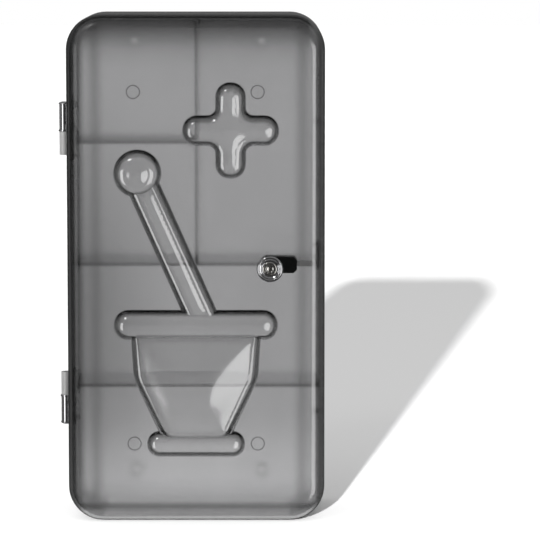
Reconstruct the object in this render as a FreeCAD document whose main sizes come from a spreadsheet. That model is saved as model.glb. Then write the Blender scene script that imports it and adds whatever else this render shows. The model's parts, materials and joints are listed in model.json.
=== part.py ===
import FreeCAD, Part
import os
import re
import Sketcher

from FreeCAD import Placement, Rotation, Vector

# Wall medicine cabinet in translucent plastic, in millimetres and degrees.
# +X is right, +Y points into the wall, +Z is up; the origin is the centre of the back face.
# A depth is a distance from the wall towards the room, so a point at depth d has y = -d.

SIZES = {
    # Tub and door
    "cabinet_width": 236,
    "cabinet_height": 466,
    "corner_round": 32,
    "wall": 3,
    "tub_depth": 90,
    "back_round": 18,
    "parting_gap": 0.6,
    "door_depth": 34,
    "front_round": 13,
    "cut_overrun": 2,
    "fit_gap": 0.4,
    # Shelves, ledges and divider
    "shelf_thick": 3,
    "shelf_setback": 2,
    "middle_shelf_height": 2,
    "shelf_pitch": 113,
    "ledge_width": 5,
    "ledge_height": 3,
    "ledge_setback": 17.5,
    "divider_thick": 3,
    "rail_width": 2,
    "rail_height": 4,
    # Wall screw bosses
    "boss_radius": 6.5,
    "boss_height": 7,
    "wall_hole_radius": 2.75,
    "wall_hole_span": 120,
    "wall_hole_rise": 410,
    # Locating lugs on the right wall
    "lug_thick": 2.4,
    "lug_width": 6.5,
    "lug_reach": 9,
    "lug_root": 14,
    "lug_rise": 269,
    "lug_clear": 0.8,
    # Hinges
    "hinge_offset": 3,
    "upper_hinge_height": 126,
    "lower_hinge_height": -120,
    "knuckle_radius": 4.8,
    "body_knuckle_length": 23.5,
    "door_knuckle_length": 21.5,
    "knuckle_play": 0.15,
    "pin_radius": 2.3,
    "pin_play": 0.05,
    "pin_head_radius": 5.4,
    "pin_crown_radius": 3.6,
    "pin_head_height": 1,
    "pin_crown_height": 1.5,
    "washer_thick": 1.5,
    "washer_radius": 5.5,
    "notch_clear": 1.8,
    "leaf_thick": 1.6,
    "leaf_width": 17,
    "leaf_clear": 0.6,
    "leaf_over": 7,
    "leaf_beyond": 4.2,
    "leaf_screw_near": 3,
    "leaf_screw_far": 23,
    "leaf_screw_inset": 10.5,
    # Countersunk screws and nuts
    "screw_radius": 1.5,
    "screw_head_radius": 2.9,
    "screw_head_height": 1.6,
    "screw_tail": 0.8,
    "hole_play": 0.1,
    "thread_play": 0.05,
    "nut_circumradius": 3.15,
    "nut_thick": 2.4,
    # Lock barrel and plug
    "lock_from_side": 50.2,
    "lock_up": 1.6,
    "bezel_radius": 12.2,
    "bezel_thick": 2.4,
    "bezel_chamfer": 1.2,
    "barrel_radius": 9,
    "barrel_flats": 15.6,
    "barrel_length": 11.2,
    "plug_radius": 6.4,
    "plug_play": 0.05,
    "plug_sunk": 0.6,
    "stub_radius": 3,
    "keyway_width": 1.8,
    "keyway_height": 7,
    "keyway_depth": 6,
    "lock_nut_circumradius": 11.5,
    "lock_nut_thick": 3,
    # Crank, bolt and guide
    "crank_gap": 0.2,
    "crank_thick": 1.8,
    "crank_radius": 8.2,
    "crank_pin_radius": 1.2,
    "bolt_throw": 8,
    "bolt_rise": 3.5,
    "bolt_thick": 3,
    "bolt_gap": 0.3,
    "slot_gap": 0.55,
    "tail_height": 10,
    "tail_back": 7,
    "tail_front": 11.5,
    "nose_height": 5,
    "nose_gap": 5,
    "guide_disc_radius": 11.75,
    "guide_base_thick": 2,
    "guide_height": 15,
    "guide_reach": 24.6,
    "guide_start": 13,
    "guide_end_wall": 4.6,
    "guide_chamfer": 3,
    "cover_thick": 1.5,
    "cover_back": 7.6,
    "guide_screw_radius": 1,
    "guide_screw_head_radius": 1.9,
    "guide_screw_head_height": 1.2,
    "guide_screw_length": 8,
    "guide_screw_span": 10.4,
    "guide_screw_inset": 2.6,
    # Strike on the right wall
    "strike_thick": 1.5,
    "strike_height": 18,
    "strike_pad": 2.3,
    "strike_root": 18,
    "strike_lip": 2.5,
    "strike_chamfer": 3,
    "strike_gap": 0.8,
    "strike_margin": 3,
    "strike_rise": 1,
    "strike_relief": 1,
    "strike_screw_setback": 9,
    "strike_screw_span": 11,
    # Domed relief on the door
    "relief_land": 1,
    "relief_nip": 0.5,
    "bowl_mouth_half": 60,
    "bowl_mouth_height": -54,
    "bowl_belly_half": 57,
    "bowl_belly_height": -100,
    "bowl_belly_round": 45,
    "bowl_base_half": 30,
    "bowl_base_height": -158,
    "bowl_base_round": 16,
    "bowl_rise": 10,
    "rim_half_width": 14,
    "rim_half_length": 75,
    "rim_height": -50,
    "rim_rise": 12.5,
    "foot_half_width": 12,
    "foot_half_length": 45,
    "foot_height": -160,
    "foot_rise": 11,
    "pestle_across": -24,
    "pestle_height": 24,
    "pestle_tilt": -24,
    "pestle_half_width": 15,
    "pestle_half_length": 86,
    "pestle_rise": 10,
    "knob_radius": 22,
    "knob_rise": 13,
    "plus_across": 32,
    "plus_height": 128,
    "plus_arm": 14,
    "plus_reach": 44,
    "plus_crotch": 7,
    "plus_rise": 11,
    # Ejector marks inside the door
    "ejector_radius": 6,
    "ejector_depth": 0.4,
    "ejector_span": 113.2,
    "ejector_rise": 323,
    "ejector_up": 1.6,
}

doc = FreeCAD.newDocument("MedicineCabinet")
sheet = doc.addObject("Spreadsheet::Sheet", "Sizes")
for row, (name, size) in enumerate(SIZES.items(), start=1):
    sheet.set(f"A{row}", name)
    sheet.set(f"B{row}", str(size))
    sheet.setAlias(f"B{row}", name)
doc.recompute()

# Levels that several pieces share, as formulas on the sheet
HALF_WIDTH = "(cabinet_width / 2)"
INNER_WIDTH = "(cabinet_width / 2 - wall)"
INNER_HEIGHT = "(cabinet_height / 2 - wall)"
DOOR_BACK = "(tub_depth + parting_gap)"
PANEL_OUT = "(tub_depth + parting_gap + door_depth)"
PANEL_IN = "(tub_depth + parting_gap + door_depth - wall)"
SHELF_FRONT = "(tub_depth - shelf_setback)"
SHELF_BACK = "(wall + fit_gap)"
HINGE_X = "(-cabinet_width / 2 - hinge_offset)"
HINGE_DEPTH = "(tub_depth + parting_gap / 2)"
LOCK_ACROSS = "(cabinet_width / 2 - lock_from_side)"
BOLT_HEIGHT = "(lock_up + bolt_rise)"
NOSE_TIP = "(cabinet_width / 2 - wall - strike_pad - strike_thick - nose_gap)"
STRIKE_FOOT = "(middle_shelf_height + shelf_thick / 2 + strike_rise)"
BARREL_REAR = f"({PANEL_OUT} - barrel_length)"
CRANK_FRONT = f"({BARREL_REAR} - crank_gap)"
CRANK_REAR = f"({CRANK_FRONT} - crank_thick)"
BOLT_FRONT = f"({CRANK_REAR} - bolt_gap)"
BOLT_REAR = f"({BOLT_FRONT} - bolt_thick)"
COVER_FRONT = f"({BOLT_REAR} - bolt_gap)"
COVER_REAR = f"({COVER_FRONT} - cover_thick)"
GUIDE_BASE_REAR = f"({PANEL_IN} - guide_base_thick)"

SIZE_NAME = re.compile(r"[a-z][a-z_]+")
MATHS = ("sin", "cos", "sqrt")
ALONG = {
    "x": Rotation(Vector(0, 1, 0), 90),
    "-x": Rotation(Vector(0, 1, 0), -90),
    "y": Rotation(Vector(1, 0, 0), -90),
    "-y": Rotation(Vector(1, 0, 0), 90),
    "z": Rotation(),
    "-z": Rotation(Vector(1, 0, 0), 180),
}
pieces = []


# Formulas and placing

def formula(text):
    """Point every size named in a formula at its cell."""
    def cell(found):
        word = found.group()
        return word if word in MATHS else "Sizes." + word
    return SIZE_NAME.sub(cell, text)


def bind(item, path, text):
    item.setExpression(path, formula(text))


def amount(text):
    """The present value of a formula."""
    return float(sheet.evalExpression(formula(text)))


def place(item, at, along="z"):
    item.Placement = Placement(Vector(), ALONG[along])
    for axis, text in zip("xyz", at):
        bind(item, "Placement.Base." + axis, text)
    return item


# Primitives and booleans

def block(low, size):
    item = place(doc.addObject("Part::Box", "Block"), low)
    for side, text in zip(("Length", "Width", "Height"), size):
        bind(item, side, text)
    return item


def rod(radius, length, start, along):
    item = place(doc.addObject("Part::Cylinder", "Rod"), start, along)
    bind(item, "Radius", radius)
    bind(item, "Height", length)
    return item


def cone(near_radius, far_radius, length, start, along):
    item = place(doc.addObject("Part::Cone", "Cone"), start, along)
    bind(item, "Radius1", near_radius)
    bind(item, "Radius2", far_radius)
    bind(item, "Height", length)
    return item


def hexagon(circumradius, length, start, along):
    item = place(doc.addObject("Part::Prism", "Hexagon"), start, along)
    item.Polygon = 6
    bind(item, "Circumradius", circumradius)
    bind(item, "Height", length)
    return item


def fuse(*items):
    joined = doc.addObject("Part::MultiFuse", "Joined")
    joined.Shapes = list(items)
    return joined


def common(first, second):
    shared = doc.addObject("Part::Common", "Shared")
    shared.Base = first
    shared.Tool = second
    return shared


def cut(base, *tools):
    result = doc.addObject("Part::Cut", "Trimmed")
    result.Base = base
    result.Tool = fuse(*tools) if len(tools) > 1 else tools[0]
    return result


def piece(label, item):
    """Name a finished piece of the cabinet."""
    item.Label = label
    pieces.append(item)
    return item


def group(label, items):
    """Like fasteners kept together as separate solids."""
    result = doc.addObject("Part::Compound", "Group")
    result.Links = list(items)
    return piece(label, result)


# Sketched solids

def attach(body, outline, role, start):
    """Lay a sketch on one of its body's main planes, at a distance along the plane's normal."""
    plane = next(item for item in body.Origin.OriginFeatures if item.Role == role)
    outline.AttachmentSupport = [(plane, "")]
    outline.MapMode = "FlatFace"
    bind(outline, "AttachmentOffset.Base.z", start)


def sketch_polygon(body, role, points, start):
    """A closed outline whose corners are tied to formulas, at a distance along its plane's normal."""
    outline = body.newObject("Sketcher::SketchObject", "Outline")
    attach(body, outline, role, start)
    corners = [Vector(amount(across), amount(up), 0) for across, up in points]
    count = len(corners)
    for index, corner in enumerate(corners):
        outline.addGeometry(Part.LineSegment(corner, corners[(index + 1) % count]))
    for index in range(count):
        outline.addConstraint(Sketcher.Constraint("Coincident", index, 2, (index + 1) % count, 1))
    for index, (across, up) in enumerate(points):
        for kind, text in (("DistanceX", across), ("DistanceY", up)):
            number = outline.addConstraint(Sketcher.Constraint(kind, -1, 1, index, 1, amount(text)))
            bind(outline, f"Constraints[{number}]", text)
    return outline


def plate(role, points, start, thick):
    """A flat solid: an outline on one of the main planes, padded along the plane's normal."""
    body = doc.addObject("PartDesign::Body", "Plate")
    outline = sketch_polygon(body, role, points, start)
    pad = body.newObject("PartDesign::Pad", "Slab")
    pad.Profile = outline
    bind(pad, "Length", thick)
    doc.recompute()
    return body


def round_edges(body, wanted, radius):
    base = body.Tip
    names = [f"Edge{number}" for number, edge in enumerate(base.Shape.Edges, start=1) if wanted(edge)]
    rounding = body.newObject("PartDesign::Fillet", "Rounding")
    rounding.Base = (base, names)
    bind(rounding, "Radius", radius)
    doc.recompute()


def lies_at(depth):
    """A test for edges and faces that lie in the upright plane at a depth."""
    level = -amount(depth)
    reach = amount("fit_gap")
    return lambda item: abs(item.BoundBox.YMin - level) < reach and abs(item.BoundBox.YMax - level) < reach


def open_tray(start, depth, closed_depth, open_depth, edge_round):
    """A rounded box with soft edges on its closed side, hollowed from its open side."""
    outline = [
        ("-cabinet_width / 2", "-cabinet_height / 2"),
        ("cabinet_width / 2", "-cabinet_height / 2"),
        ("cabinet_width / 2", "cabinet_height / 2"),
        ("-cabinet_width / 2", "cabinet_height / 2"),
    ]
    body = plate("XZ_Plane", outline, start, depth)
    round_edges(body, lambda edge: edge.BoundBox.YLength > amount("wall"), "corner_round")
    round_edges(body, lies_at(closed_depth), edge_round)
    base = body.Tip
    mouth = lies_at(open_depth)
    names = [f"Face{number}" for number, face in enumerate(base.Shape.Faces, start=1) if mouth(face)]
    hollow = body.newObject("PartDesign::Thickness", "Walls")
    hollow.Base = (base, names)
    bind(hollow, "Value", "wall")
    hollow.Reversed = True
    doc.recompute()
    return body


# Fasteners through a side wall: countersunk head outside, nut inside

def wall_screw(side, depth, height, grip):
    """One screw, its nut and the hole that both need; side is -1 at the left wall and 1 at the right."""
    along = "x" if side < 0 else "-x"
    outside = (f"{side} * {HALF_WIDTH}", f"-{depth}", height)
    neck = (f"{side} * ({HALF_WIDTH} - screw_head_height)", f"-{depth}", height)
    seat = (f"{side} * ({INNER_WIDTH} - {grip})", f"-{depth}", height)
    past_head = f"wall - screw_head_height + {grip} + nut_thick + screw_tail"
    screw = fuse(
        cone("screw_head_radius", "screw_radius", "screw_head_height", outside, along),
        rod("screw_radius", past_head, neck, along),
    )
    nut = cut(
        hexagon("nut_circumradius", "nut_thick", seat, along),
        rod("screw_radius + thread_play", "nut_thick", seat, along),
    )
    hole = fuse(
        cone("screw_head_radius + thread_play", "screw_radius + thread_play", "screw_head_height",
             outside, along),
        rod("screw_radius + hole_play", f"wall + {grip} + cut_overrun", outside, along),
    )
    return screw, nut, hole


# Hinges: a body leaf with its pin and washer, and a door leaf that turns on the pin

def upright(middle, turn, low, high):
    """Start and length of a stretch along Z; turn -1 gives the mirrored lower hinge."""
    start = f"{middle} + ({low})" if turn > 0 else f"{middle} - ({high})"
    return start, f"({high}) - ({low})"


def hinge_leaf(middle, turn, side, knuckle, plate_span, bore):
    """Rolled knuckle, neck through the parting line and plate on the wall; side 1 is the tub's."""
    start, length = upright(middle, turn, *knuckle)
    plate_start, plate_length = upright(middle, turn, *plate_span)
    neck_near = "leaf_clear" if side > 0 else "-leaf_clear - leaf_thick"
    plate_near = "leaf_clear" if side > 0 else "-leaf_clear - leaf_width"
    neck = block(
        (f"{HINGE_X} + (knuckle_radius + pin_radius) / 2", f"-{HINGE_DEPTH} + {neck_near}", start),
        ("hinge_offset + wall + leaf_thick - (knuckle_radius + pin_radius) / 2", "leaf_thick", length),
    )
    flat = block(
        (f"-{INNER_WIDTH}", f"-{HINGE_DEPTH} + {plate_near}", plate_start),
        ("leaf_thick", "leaf_width", plate_length),
    )
    axis = (HINGE_X, f"-{HINGE_DEPTH}", start)
    rolled = rod("knuckle_radius", length, axis, "z")
    return cut(fuse(rolled, neck, flat), rod(bore, length, axis, "z"))


def make_hinge(name, middle, turn):
    """All pieces of one hinge; returns its screws, nuts and the cuts it needs in both shells."""
    body_knuckle = ("washer_thick / 2", "washer_thick / 2 + body_knuckle_length")
    door_knuckle = (
        "-washer_thick / 2 - knuckle_play - door_knuckle_length",
        "-washer_thick / 2 - knuckle_play",
    )
    body_plate = ("-leaf_over", body_knuckle[1] + " + leaf_beyond")
    door_plate = (door_knuckle[0] + " - leaf_beyond", "leaf_over")
    made = {}
    for side, owner, far in ((1, "tub", 1), (-1, "door", -1)):
        screws = []
        for offset in (f"{-far} * leaf_screw_near", f"{far} * leaf_screw_far"):
            height = f"({middle} + {turn} * ({offset}))"
            depth = f"({HINGE_DEPTH} - {side} * leaf_screw_inset)"
            screws.append(wall_screw(-1, depth, height, "leaf_thick"))
        made[owner] = screws
    body_leaf = hinge_leaf(middle, turn, 1, body_knuckle, body_plate, "pin_radius")
    door_leaf = hinge_leaf(middle, turn, -1, door_knuckle, door_plate, "pin_radius + pin_play")
    piece(f"{name}_hinge_body_leaf", cut(body_leaf, *[hole for _, _, hole in made["tub"]]))
    piece(f"{name}_hinge_door_leaf", cut(door_leaf, *[hole for _, _, hole in made["door"]]))

    axis = (HINGE_X, f"-{HINGE_DEPTH}")
    start, length = upright(middle, turn, door_knuckle[0], body_knuckle[1])
    along = "z" if turn > 0 else "-z"
    head = (*axis, f"{middle} + {turn} * ({body_knuckle[1]})")
    crown = (*axis, f"{middle} + {turn} * ({body_knuckle[1]} + pin_head_height)")
    piece(f"{name}_hinge_pin", fuse(
        rod("pin_radius", length, (*axis, start), "z"),
        rod("pin_head_radius", "pin_head_height", head, along),
        cone("pin_head_radius", "pin_crown_radius", "pin_crown_height", crown, along),
    ))
    start, length = upright(middle, turn, "-washer_thick / 2", "washer_thick / 2")
    piece(f"{name}_hinge_washer", cut(
        rod("washer_radius", length, (*axis, start), "z"),
        rod("pin_radius", length, (*axis, start), "z"),
    ))
    start, length = upright(
        middle, turn, door_knuckle[0] + " - notch_clear",
        body_knuckle[1] + " + pin_head_height + pin_crown_height + notch_clear",
    )
    notch = rod("knuckle_radius + notch_clear", length, (*axis, start), "z")
    return made, notch


# Tub with ledges, divider rails, bosses, lugs and strike seat

def make_tub(notches, holes):
    tub = open_tray("0", "tub_depth", "0", "tub_depth", "back_round")
    run_front = f"-({SHELF_FRONT} - ledge_setback)"
    run = f"{SHELF_FRONT} - ledge_setback - back_round"
    details = []
    for sides, height in (((-1,), "shelf_pitch"), ((-1, 1), "0"), ((-1, 1), "-shelf_pitch")):
        for side in sides:
            left = f"-{INNER_WIDTH} - wall / 2" if side < 0 else f"{INNER_WIDTH} - ledge_width"
            under = f"middle_shelf_height + {height} - shelf_thick / 2 - ledge_height"
            details.append(block((left, run_front, under), ("ledge_width + wall / 2", run, "ledge_height")))
    for left in ("divider_thick / 2 + fit_gap", "-divider_thick / 2 - fit_gap - rail_width"):
        low = (left, run_front, f"{INNER_HEIGHT} - rail_height")
        details.append(block(low, ("rail_width", run, "rail_height + wall / 2")))
    bores = []
    for across in (-1, 1):
        for up in (-1, 1):
            spot = (f"{across} * wall_hole_span / 2", f"{up} * wall_hole_rise / 2")
            base = (spot[0], "-wall / 2", spot[1])
            bores.append(rod("wall_hole_radius", "wall + boss_height + 2 * cut_overrun",
                             (spot[0], "cut_overrun", spot[1]), "-y"))
            details.append(rod("boss_radius", "wall / 2 + boss_height", base, "-y"))
    for up in (-1, 1):
        under = f"{up} * lug_rise / 2 - lug_thick / 2"
        details.append(block(
            (f"{INNER_WIDTH} - lug_clear - lug_width", "-tub_depth - lug_reach", under),
            ("lug_width", "lug_reach + lug_root", "lug_thick"),
        ))
        details.append(block(
            (f"{INNER_WIDTH} - lug_width", "-tub_depth", under),
            ("lug_width + wall / 2", "lug_root", "lug_thick"),
        ))
    details.append(block(
        (f"{INNER_WIDTH} - strike_pad", "-tub_depth", STRIKE_FOOT),
        ("strike_pad + wall / 2", "strike_root", "strike_height"),
    ))
    piece("cabinet_shell", cut(fuse(tub, *details), *notches, *bores, *holes))


# Shelves and divider

def make_shelf(label, right, height, rounded):
    """A plate on its ledges; the rear corners in rounded follow the tub's back."""
    left = f"-{INNER_WIDTH} + fit_gap"
    outline = [
        (left, f"-{SHELF_FRONT}"),
        (right, f"-{SHELF_FRONT}"),
        (right, f"-{SHELF_BACK}"),
        (left, f"-{SHELF_BACK}"),
    ]
    body = plate("XY_Plane", outline, f"middle_shelf_height + {height} - shelf_thick / 2", "shelf_thick")
    rear = -amount(f"{SHELF_FRONT} / 2")
    spots = [amount(left), amount(right)][:rounded]

    def rear_corner(edge):
        box = edge.BoundBox
        upright_edge = box.ZLength > amount("shelf_thick / 2") and box.YMin > rear
        return upright_edge and any(abs(box.XMin - spot) < amount("fit_gap") for spot in spots)

    round_edges(body, rear_corner, "back_round - wall - fit_gap")
    piece(label, body)


def make_divider():
    foot = "(middle_shelf_height + shelf_thick / 2)"
    top = f"({INNER_HEIGHT} - fit_gap)"
    outline = [
        (f"-{SHELF_FRONT}", foot),
        (f"-{SHELF_BACK}", foot),
        (f"-{SHELF_BACK}", top),
        (f"-{SHELF_FRONT}", top),
    ]
    body = plate("YZ_Plane", outline, "-divider_thick / 2", "divider_thick")
    middle_depth = -amount(f"{SHELF_FRONT} / 2")
    middle_height = amount(f"({foot} + {top}) / 2")

    def rear_top(edge):
        box = edge.BoundBox
        across = box.XLength > amount("divider_thick / 2")
        return across and box.YMin > middle_depth and box.ZMin > middle_height

    round_edges(body, rear_top, "back_round - wall - fit_gap")
    under = "middle_shelf_height + shelf_pitch - shelf_thick / 2 - ledge_height"
    ledge = block(
        ("-divider_thick / 2 - ledge_width", f"-({SHELF_FRONT} - ledge_setback)", under),
        ("ledge_width", f"{SHELF_FRONT} - ledge_setback - back_round", "ledge_height"),
    )
    piece("centre_divider", fuse(body, ledge))


# Door: a tray with a hollow domed relief

def stands_at(spots):
    """A test for edges square to the panel that stand at one of these spots across and up."""
    reach = amount("fit_gap")
    places = [(amount(across), amount(up)) for across, up in spots]

    def wanted(edge):
        box = edge.BoundBox
        near = any(abs(box.XMin - x) < reach and abs(box.ZMin - z) < reach for x, z in places)
        return near and box.YLength > reach

    return wanted


def pillow(outline, corners, edge_round, start, tall):
    """A padded outline with rounded corners, given as pairs of spots and radius, and a soft top edge."""
    body = plate("XZ_Plane", outline, start, tall)
    for spots, radius in corners:
        round_edges(body, stands_at(spots), radius)
    round_edges(body, lies_at(f"({start} + {tall})"), edge_round)
    return body


def edge_round(rise, inset):
    return f"{rise} - relief_land - {inset}"


def tilted_box(across, up, half_width, half_length, tilt):
    """A rectangle about a centre, its long side leaning from upright by the tilt."""
    outline = []
    for side, end in ((-1, -1), (1, -1), (1, 1), (-1, 1)):
        wide = f"({side} * {half_width})"
        long = f"({end} * {half_length})"
        outline.append((
            f"{across} + {wide} * cos({tilt}) + {long} * sin({tilt})",
            f"{up} - {wide} * sin({tilt}) + {long} * cos({tilt})",
        ))
    return outline


def bar_pillow(name, across, tilt, start, base, inset):
    """A long pillow with round ends; its sizes start with the given name."""
    half_width = f"({name}_half_width - {inset})"
    outline = tilted_box(across, f"{name}_height", half_width, f"({name}_half_length - {inset})", tilt)
    rounding = [(outline, f"{half_width} - relief_nip")]
    return pillow(outline, rounding, edge_round(f"{name}_rise", inset), start, f"({base} + {name}_rise)")


def bowl_pillow(start, base, inset):
    """The mortar's bowl: wide at the mouth, full at the belly and drawn in to the foot."""
    levels = (
        (f"(bowl_mouth_half - {inset})", f"(bowl_mouth_height - {inset})"),
        (f"(bowl_belly_half - {inset})", "bowl_belly_height"),
        (f"(bowl_base_half - {inset})", f"(bowl_base_height + {inset})"),
    )
    right = [(half, height) for half, height in levels]
    left = [("-" + half, height) for half, height in reversed(levels)]
    outline = right + left
    belly = [outline[1], outline[4]]
    bottom = [outline[2], outline[3]]
    rounding = [(belly, f"bowl_belly_round - {inset}"), (bottom, f"bowl_base_round - {inset}")]
    return pillow(outline, rounding, edge_round("bowl_rise", inset), start, f"({base} + bowl_rise)")


def knob_pillow(start, base, inset):
    """The round grip at the pestle's upper end."""
    body = doc.addObject("PartDesign::Body", "Knob")
    outline = body.newObject("Sketcher::SketchObject", "Circle")
    attach(body, outline, "XZ_Plane", start)
    radius = f"(knob_radius - {inset})"
    reach = "(pestle_half_length - pestle_half_width)"
    across = f"pestle_across + {reach} * sin(pestle_tilt)"
    up = f"pestle_height + {reach} * cos(pestle_tilt)"
    centre = Vector(amount(across), amount(up), 0)
    outline.addGeometry(Part.Circle(centre, Vector(0, 0, 1), amount(radius)))
    rules = (
        (Sketcher.Constraint("Radius", 0, amount(radius)), radius),
        (Sketcher.Constraint("DistanceX", -1, 1, 0, 3, centre.x), across),
        (Sketcher.Constraint("DistanceY", -1, 1, 0, 3, centre.y), up),
    )
    for rule, text in rules:
        number = outline.addConstraint(rule)
        bind(outline, f"Constraints[{number}]", text)
    tall = f"({base} + knob_rise)"
    pad = body.newObject("PartDesign::Pad", "Slab")
    pad.Profile = outline
    bind(pad, "Length", tall)
    doc.recompute()
    round_edges(body, lies_at(f"({start} + {tall})"), edge_round("knob_rise", inset))
    return body


def plus_pillow(start, base, inset):
    arm = f"(plus_arm - {inset})"
    reach = f"(plus_reach - {inset})"
    steps = [
        (-1, -2), (1, -2), (1, -1), (2, -1), (2, 1), (1, 1),
        (1, 2), (-1, 2), (-1, 1), (-2, 1), (-2, -1), (-1, -1),
    ]
    size = {-2: "-" + reach, -1: "-" + arm, 1: arm, 2: reach}
    outline = [(f"plus_across + {size[across]}", f"plus_height + {size[up]}") for across, up in steps]
    crotches = [spot for spot, step in zip(outline, steps) if abs(step[0]) == abs(step[1])]
    ends = [spot for spot in outline if spot not in crotches]
    rounding = [(ends, f"{arm} - relief_nip"), (crotches, f"plus_crotch + {inset}")]
    return pillow(outline, rounding, edge_round("plus_rise", inset), start, f"({base} + plus_rise)")


def relief(start, base, inset):
    """Mortar, pestle and plus from a starting depth; base is what lies below the panel's face."""
    return [
        bowl_pillow(start, base, inset),
        bar_pillow("rim", "0", "90", start, base, inset),
        bar_pillow("foot", "0", "90", start, base, inset),
        bar_pillow("pestle", "pestle_across", "pestle_tilt", start, base, inset),
        knob_pillow(start, base, inset),
        plus_pillow(start, base, inset),
    ]


def double_flat(radius, flats, near, length):
    """A round bar along Y with two flats, as the lock barrel has."""
    bar = rod(radius, length, (LOCK_ACROSS, f"-{near}", "lock_up"), "-y")
    slab = block(
        (f"{LOCK_ACROSS} - {flats} / 2", f"-({near} + {length})", f"lock_up - {radius}"),
        (flats, length, f"2 * {radius}"),
    )
    return common(bar, slab)


def make_door(notches, holes):
    tray = open_tray(DOOR_BACK, "door_depth", PANEL_OUT, DOOR_BACK, "front_round")
    raised = relief(f"({PANEL_OUT} - wall / 2)", "wall / 2", "0")
    hollows = relief(f"({PANEL_IN} - cut_overrun)", "cut_overrun", "wall")
    marks = []
    for across in (-1, 1):
        for up in (-1, 1):
            start = f"-({PANEL_IN} - cut_overrun)"
            spot = (f"{across} * ejector_span / 2", start, f"ejector_up + {up} * ejector_rise / 2")
            marks.append(rod("ejector_radius", "ejector_depth + cut_overrun", spot, "-y"))
    barrel_hole = double_flat("(barrel_radius + hole_play)", "(barrel_flats + 2 * hole_play)",
                              f"({PANEL_IN} - cut_overrun)", "(wall + 2 * cut_overrun)")
    blank = fuse(tray, *raised)
    piece("door_shell", cut(blank, *hollows, *marks, barrel_hole, *notches, *holes))


# Lock: barrel with bezel, plug, crank, sliding bolt, guide and cover

def make_lock():
    centre = (LOCK_ACROSS, "lock_up")
    face = f"({PANEL_OUT} + bezel_thick)"
    shoulder = "(bezel_thick - bezel_chamfer)"
    bezel = fuse(
        rod("bezel_radius", shoulder, (centre[0], f"-{PANEL_OUT}", centre[1]), "-y"),
        cone("bezel_radius", "bezel_radius - bezel_chamfer", "bezel_chamfer",
             (centre[0], f"-({PANEL_OUT} + {shoulder})", centre[1]), "-y"),
    )
    barrel = double_flat("barrel_radius", "barrel_flats", BARREL_REAR, "barrel_length")
    bore = rod("plug_radius + plug_play", "barrel_length + bezel_thick",
               (centre[0], f"-{BARREL_REAR}", centre[1]), "-y")
    piece("lock_barrel", cut(fuse(bezel, barrel), bore))

    plug_face = f"({face} - plug_sunk)"
    plug = fuse(
        rod("plug_radius", f"{plug_face} - {CRANK_FRONT}", (centre[0], f"-{CRANK_FRONT}", centre[1]), "-y"),
        rod("stub_radius", "crank_thick", (centre[0], f"-{CRANK_REAR}", centre[1]), "-y"),
    )
    keyway_mouth = f"-({plug_face} + cut_overrun)"
    keyway = block(
        (f"{LOCK_ACROSS} - keyway_width / 2", keyway_mouth, "lock_up - keyway_height / 2"),
        ("keyway_width", "keyway_depth + cut_overrun", "keyway_height"),
    )
    piece("lock_plug", cut(plug, keyway))

    crank_disc = rod("crank_radius", "crank_thick", (centre[0], f"-{CRANK_REAR}", centre[1]), "-y")
    crank_bore = rod("stub_radius", "crank_thick", (centre[0], f"-{CRANK_REAR}", centre[1]), "-y")
    crank_pin = rod("crank_pin_radius", f"{CRANK_REAR} - {BOLT_REAR}",
                    (f"{LOCK_ACROSS} - bolt_throw / 2", f"-{CRANK_REAR}", "lock_up + bolt_throw / 2"), "y")
    piece("plug_crank", fuse(cut(crank_disc, crank_bore), crank_pin))

    nut_bar = double_flat("(barrel_radius + thread_play)", "(barrel_flats + 2 * thread_play)",
                          f"({GUIDE_BASE_REAR} - lock_nut_thick)", "lock_nut_thick")
    nut_rear = (centre[0], f"-({GUIDE_BASE_REAR} - lock_nut_thick)", centre[1])
    piece("lock_nut", cut(hexagon("lock_nut_circumradius", "lock_nut_thick", nut_rear, "-y"), nut_bar))


def make_bolt():
    """Flat bolt: a tall tail with the crank's slot and a narrow nose that enters the strike."""
    tail_low = f"{BOLT_HEIGHT} - tail_height / 2"
    tail_high = f"{BOLT_HEIGHT} + tail_height / 2"
    nose_low = f"{BOLT_HEIGHT} - nose_height / 2"
    nose_high = f"{BOLT_HEIGHT} + nose_height / 2"
    outline = [
        (f"{LOCK_ACROSS} - tail_back", tail_low),
        (f"{LOCK_ACROSS} + tail_front", tail_low),
        (f"{LOCK_ACROSS} + tail_front", nose_low),
        (NOSE_TIP, nose_low),
        (NOSE_TIP, nose_high),
        (f"{LOCK_ACROSS} + tail_front", nose_high),
        (f"{LOCK_ACROSS} + tail_front", tail_high),
        (f"{LOCK_ACROSS} - tail_back", tail_high),
    ]
    bar = plate("XZ_Plane", outline, BOLT_REAR, "bolt_thick")
    reach = "(crank_pin_radius + slot_gap)"
    slot = block(
        (f"{LOCK_ACROSS} - bolt_throw / 2 - {reach}", f"-({BOLT_FRONT} + cut_overrun)",
         f"lock_up + bolt_throw / 2 - {reach}"),
        (f"2 * {reach}", "bolt_thick + 2 * cut_overrun",
         f"bolt_throw * (1 / sqrt(2) - 1 / 2) + 2 * {reach}"),
    )
    piece("lock_bolt", cut(bar, slot))


def chamfered(left, left_chamfer):
    """Outline of the guide and its cover; the right corners are always chamfered."""
    low = f"{BOLT_HEIGHT} - guide_height / 2"
    high = f"{BOLT_HEIGHT} + guide_height / 2"
    right = f"{LOCK_ACROSS} + guide_reach"
    outline = [
        (f"{left} + {left_chamfer}", low),
        (f"{right} - guide_chamfer", low),
        (right, f"{low} + guide_chamfer"),
        (right, f"{high} - guide_chamfer"),
        (f"{right} - guide_chamfer", high),
        (f"{left} + {left_chamfer}", high),
    ]
    if left_chamfer != "0":
        outline.append((left, f"{high} - {left_chamfer}"))
        outline.append((left, f"{low} + {left_chamfer}"))
    return outline


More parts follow.
